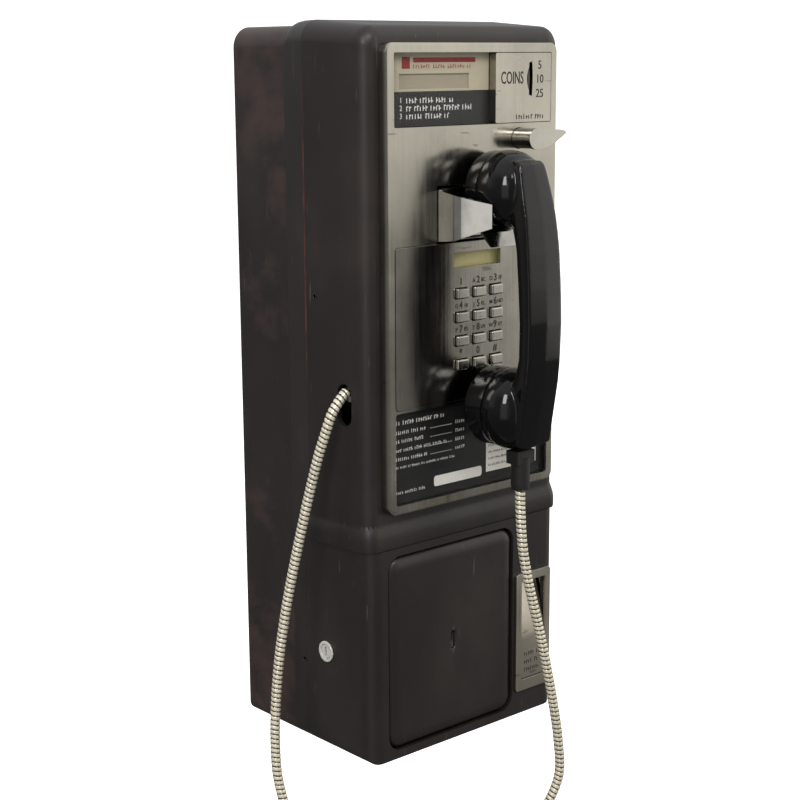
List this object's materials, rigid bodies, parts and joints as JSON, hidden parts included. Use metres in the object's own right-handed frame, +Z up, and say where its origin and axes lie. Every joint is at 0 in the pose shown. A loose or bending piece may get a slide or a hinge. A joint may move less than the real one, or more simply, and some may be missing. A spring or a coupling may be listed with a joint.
{
  "type": "wall-mounted coin payphone",
  "caption": "Wall-mounted coin payphone: black steel housings, stainless front, push-button keypad, handset on a chrome cradle, armoured cord, coin vault and coin return.",
  "frame": {"origin": "middle of the back face that lies against the wall", "axes": "X to the caller's right, Y from the caller into the wall, Z up"},
  "size_m": [0.2524, 0.2212, 0.6406],
  "materials": {
    "black_paint": "satin, worn at the ridges",
    "stainless": "brushed",
    "chrome": "polished",
    "zinc": "zinc plated",
    "brass": "satin",
    "handset_plastic": "gloss",
    "dark_plastic": "matte",
    "cream_card": "matte",
    "black_card": "satin",
    "olive_card": "matte",
    "clear": "clear",
    "board": "matte",
    "armor": "interlocked strip"
  },
  "bodies": {
    "phone": {"wall_plate": "zinc", "mounting_bolt_1": "zinc", "mounting_bolt_2": "zinc", "mounting_bolt_3": "zinc", "mounting_bolt_4": "zinc", "rear_housing": "black_paint", "upper_housing": "black_paint", "lower_housing": "black_paint", "side_lock_case": "chrome", "faceplate": "stainless", "rate_card": "cream_card", "dialing_card": "black_card", "upper_window": "clear", "display_module": "dark_plastic", "number_card": "olive_card", "lower_card": "black_card", "lower_window": "clear", "coin_plate": "stainless", "coin_throat": "dark_plastic", "coin_validator": "zinc", "coin_drop_tube": "zinc", "coin_return_chute": "zinc", "coin_hopper": "zinc", "keypad_plate": "stainless", "keypad_board": "board", "hook_bracket": "zinc", "hook_pin": "zinc", "hook_switch": "dark_plastic", "circuit_board": "board", "cord_gland": "stainless", "armored_cord": "armor", "return_plate": "stainless", "return_bucket": "stainless"},
    "handset": {"handset_body": "handset_plastic", "earpiece_cap": "handset_plastic", "mouthpiece_cap": "handset_plastic", "receiver_capsule": "zinc", "transmitter_capsule": "zinc", "cord_boot": "dark_plastic"},
    "hook": {"hook": "chrome"},
    "coin_release": {"coin_release_lever": "chrome"},
    "return_flap": {"return_flap": "stainless"},
    "vault_door": {"vault_door": "black_paint"},
    "coin_box": {"coin_box": "zinc", "coin_box_lid": "zinc"},
    "vault_lock": {"vault_lock_plug": "zinc"},
    "side_lock": {"side_lock_plug": "brass"},
    "key_1": {"key_1": "stainless"},
    "key_2": {"key_2": "stainless"},
    "key_3": {"key_3": "stainless"},
    "key_4": {"key_4": "stainless"},
    "key_5": {"key_5": "stainless"},
    "key_6": {"key_6": "stainless"},
    "key_7": {"key_7": "stainless"},
    "key_8": {"key_8": "stainless"},
    "key_9": {"key_9": "stainless"},
    "key_star": {"key_star": "stainless"},
    "key_0": {"key_0": "stainless"},
    "key_hash": {"key_hash": "stainless"}
  },
  "joints": [
    {"name": "handset_lift", "type": "slide", "parent": "phone", "child": "handset", "axis": [0, 0, 1], "range_m": [0, 0.036]},
    {"name": "hook_rise", "type": "hinge", "parent": "phone", "child": "hook", "pos_m": [0.008, -0.146, 0.15], "axis": [-1, 0, 0], "range_deg": [0, 6]},
    {"name": "coin_release_turn", "type": "hinge", "parent": "phone", "child": "coin_release", "pos_m": [0.0437, -0.16, 0.186], "axis": [0, 1, 0], "range_deg": [0, 25], "stiffness_Nm_per_rad": 0.12, "springref_deg": -20.05},
    {"name": "return_flap_swing", "type": "hinge", "parent": "phone", "child": "return_flap", "pos_m": [0.0699, -0.1402, -0.1598], "axis": [1, 0, 0], "range_deg": [0, 35], "stiffness_Nm_per_rad": 0.02, "springref_deg": -28.65},
    {"name": "vault_door_pull", "type": "slide", "parent": "phone", "child": "vault_door", "axis": [0, -1, 0], "range_m": [0, 0.038]},
    {"name": "coin_box_pull", "type": "slide", "parent": "phone", "child": "coin_box", "axis": [0, -1, 0], "range_m": [0, 0.038]},
    {"name": "vault_lock_turn", "type": "hinge", "parent": "vault_door", "child": "vault_lock", "pos_m": [-0.0154, -0.145, -0.187], "axis": [0, 1, 0], "range_deg": [0, 90]},
    {"name": "side_lock_turn", "type": "hinge", "parent": "phone", "child": "side_lock", "pos_m": [-0.092, -0.0995, -0.1897], "axis": [1, 0, 0], "range_deg": [0, 90]},
    {"name": "key_1_press", "type": "slide", "parent": "phone", "child": "key_1", "axis": [0, 1, 0], "range_m": [0, 0.002], "stiffness_N_per_m": 300},
    {"name": "key_2_press", "type": "slide", "parent": "phone", "child": "key_2", "axis": [0, 1, 0], "range_m": [0, 0.002], "stiffness_N_per_m": 300},
    {"name": "key_3_press", "type": "slide", "parent": "phone", "child": "key_3", "axis": [0, 1, 0], "range_m": [0, 0.002], "stiffness_N_per_m": 300},
    {"name": "key_4_press", "type": "slide", "parent": "phone", "child": "key_4", "axis": [0, 1, 0], "range_m": [0, 0.002], "stiffness_N_per_m": 300},
    {"name": "key_5_press", "type": "slide", "parent": "phone", "child": "key_5", "axis": [0, 1, 0], "range_m": [0, 0.002], "stiffness_N_per_m": 300},
    {"name": "key_6_press", "type": "slide", "parent": "phone", "child": "key_6", "axis": [0, 1, 0], "range_m": [0, 0.002], "stiffness_N_per_m": 300},
    {"name": "key_7_press", "type": "slide", "parent": "phone", "child": "key_7", "axis": [0, 1, 0], "range_m": [0, 0.002], "stiffness_N_per_m": 300},
    {"name": "key_8_press", "type": "slide", "parent": "phone", "child": "key_8", "axis": [0, 1, 0], "range_m": [0, 0.002], "stiffness_N_per_m": 300},
    {"name": "key_9_press", "type": "slide", "parent": "phone", "child": "key_9", "axis": [0, 1, 0], "range_m": [0, 0.002], "stiffness_N_per_m": 300},
    {"name": "key_star_press", "type": "slide", "parent": "phone", "child": "key_star", "axis": [0, 1, 0], "range_m": [0, 0.002], "stiffness_N_per_m": 300},
    {"name": "key_0_press", "type": "slide", "parent": "phone", "child": "key_0", "axis": [0, 1, 0], "range_m": [0, 0.002], "stiffness_N_per_m": 300},
    {"name": "key_hash_press", "type": "slide", "parent": "phone", "child": "key_hash", "axis": [0, 1, 0], "range_m": [0, 0.002], "stiffness_N_per_m": 300}
  ],
  "couplings": [
    {"joint": "hook_rise", "follows": "handset_lift", "rad_per_m": 2.9},
    {"joint": "coin_box_pull", "follows": "vault_door_pull", "ratio": 1}
  ]
}
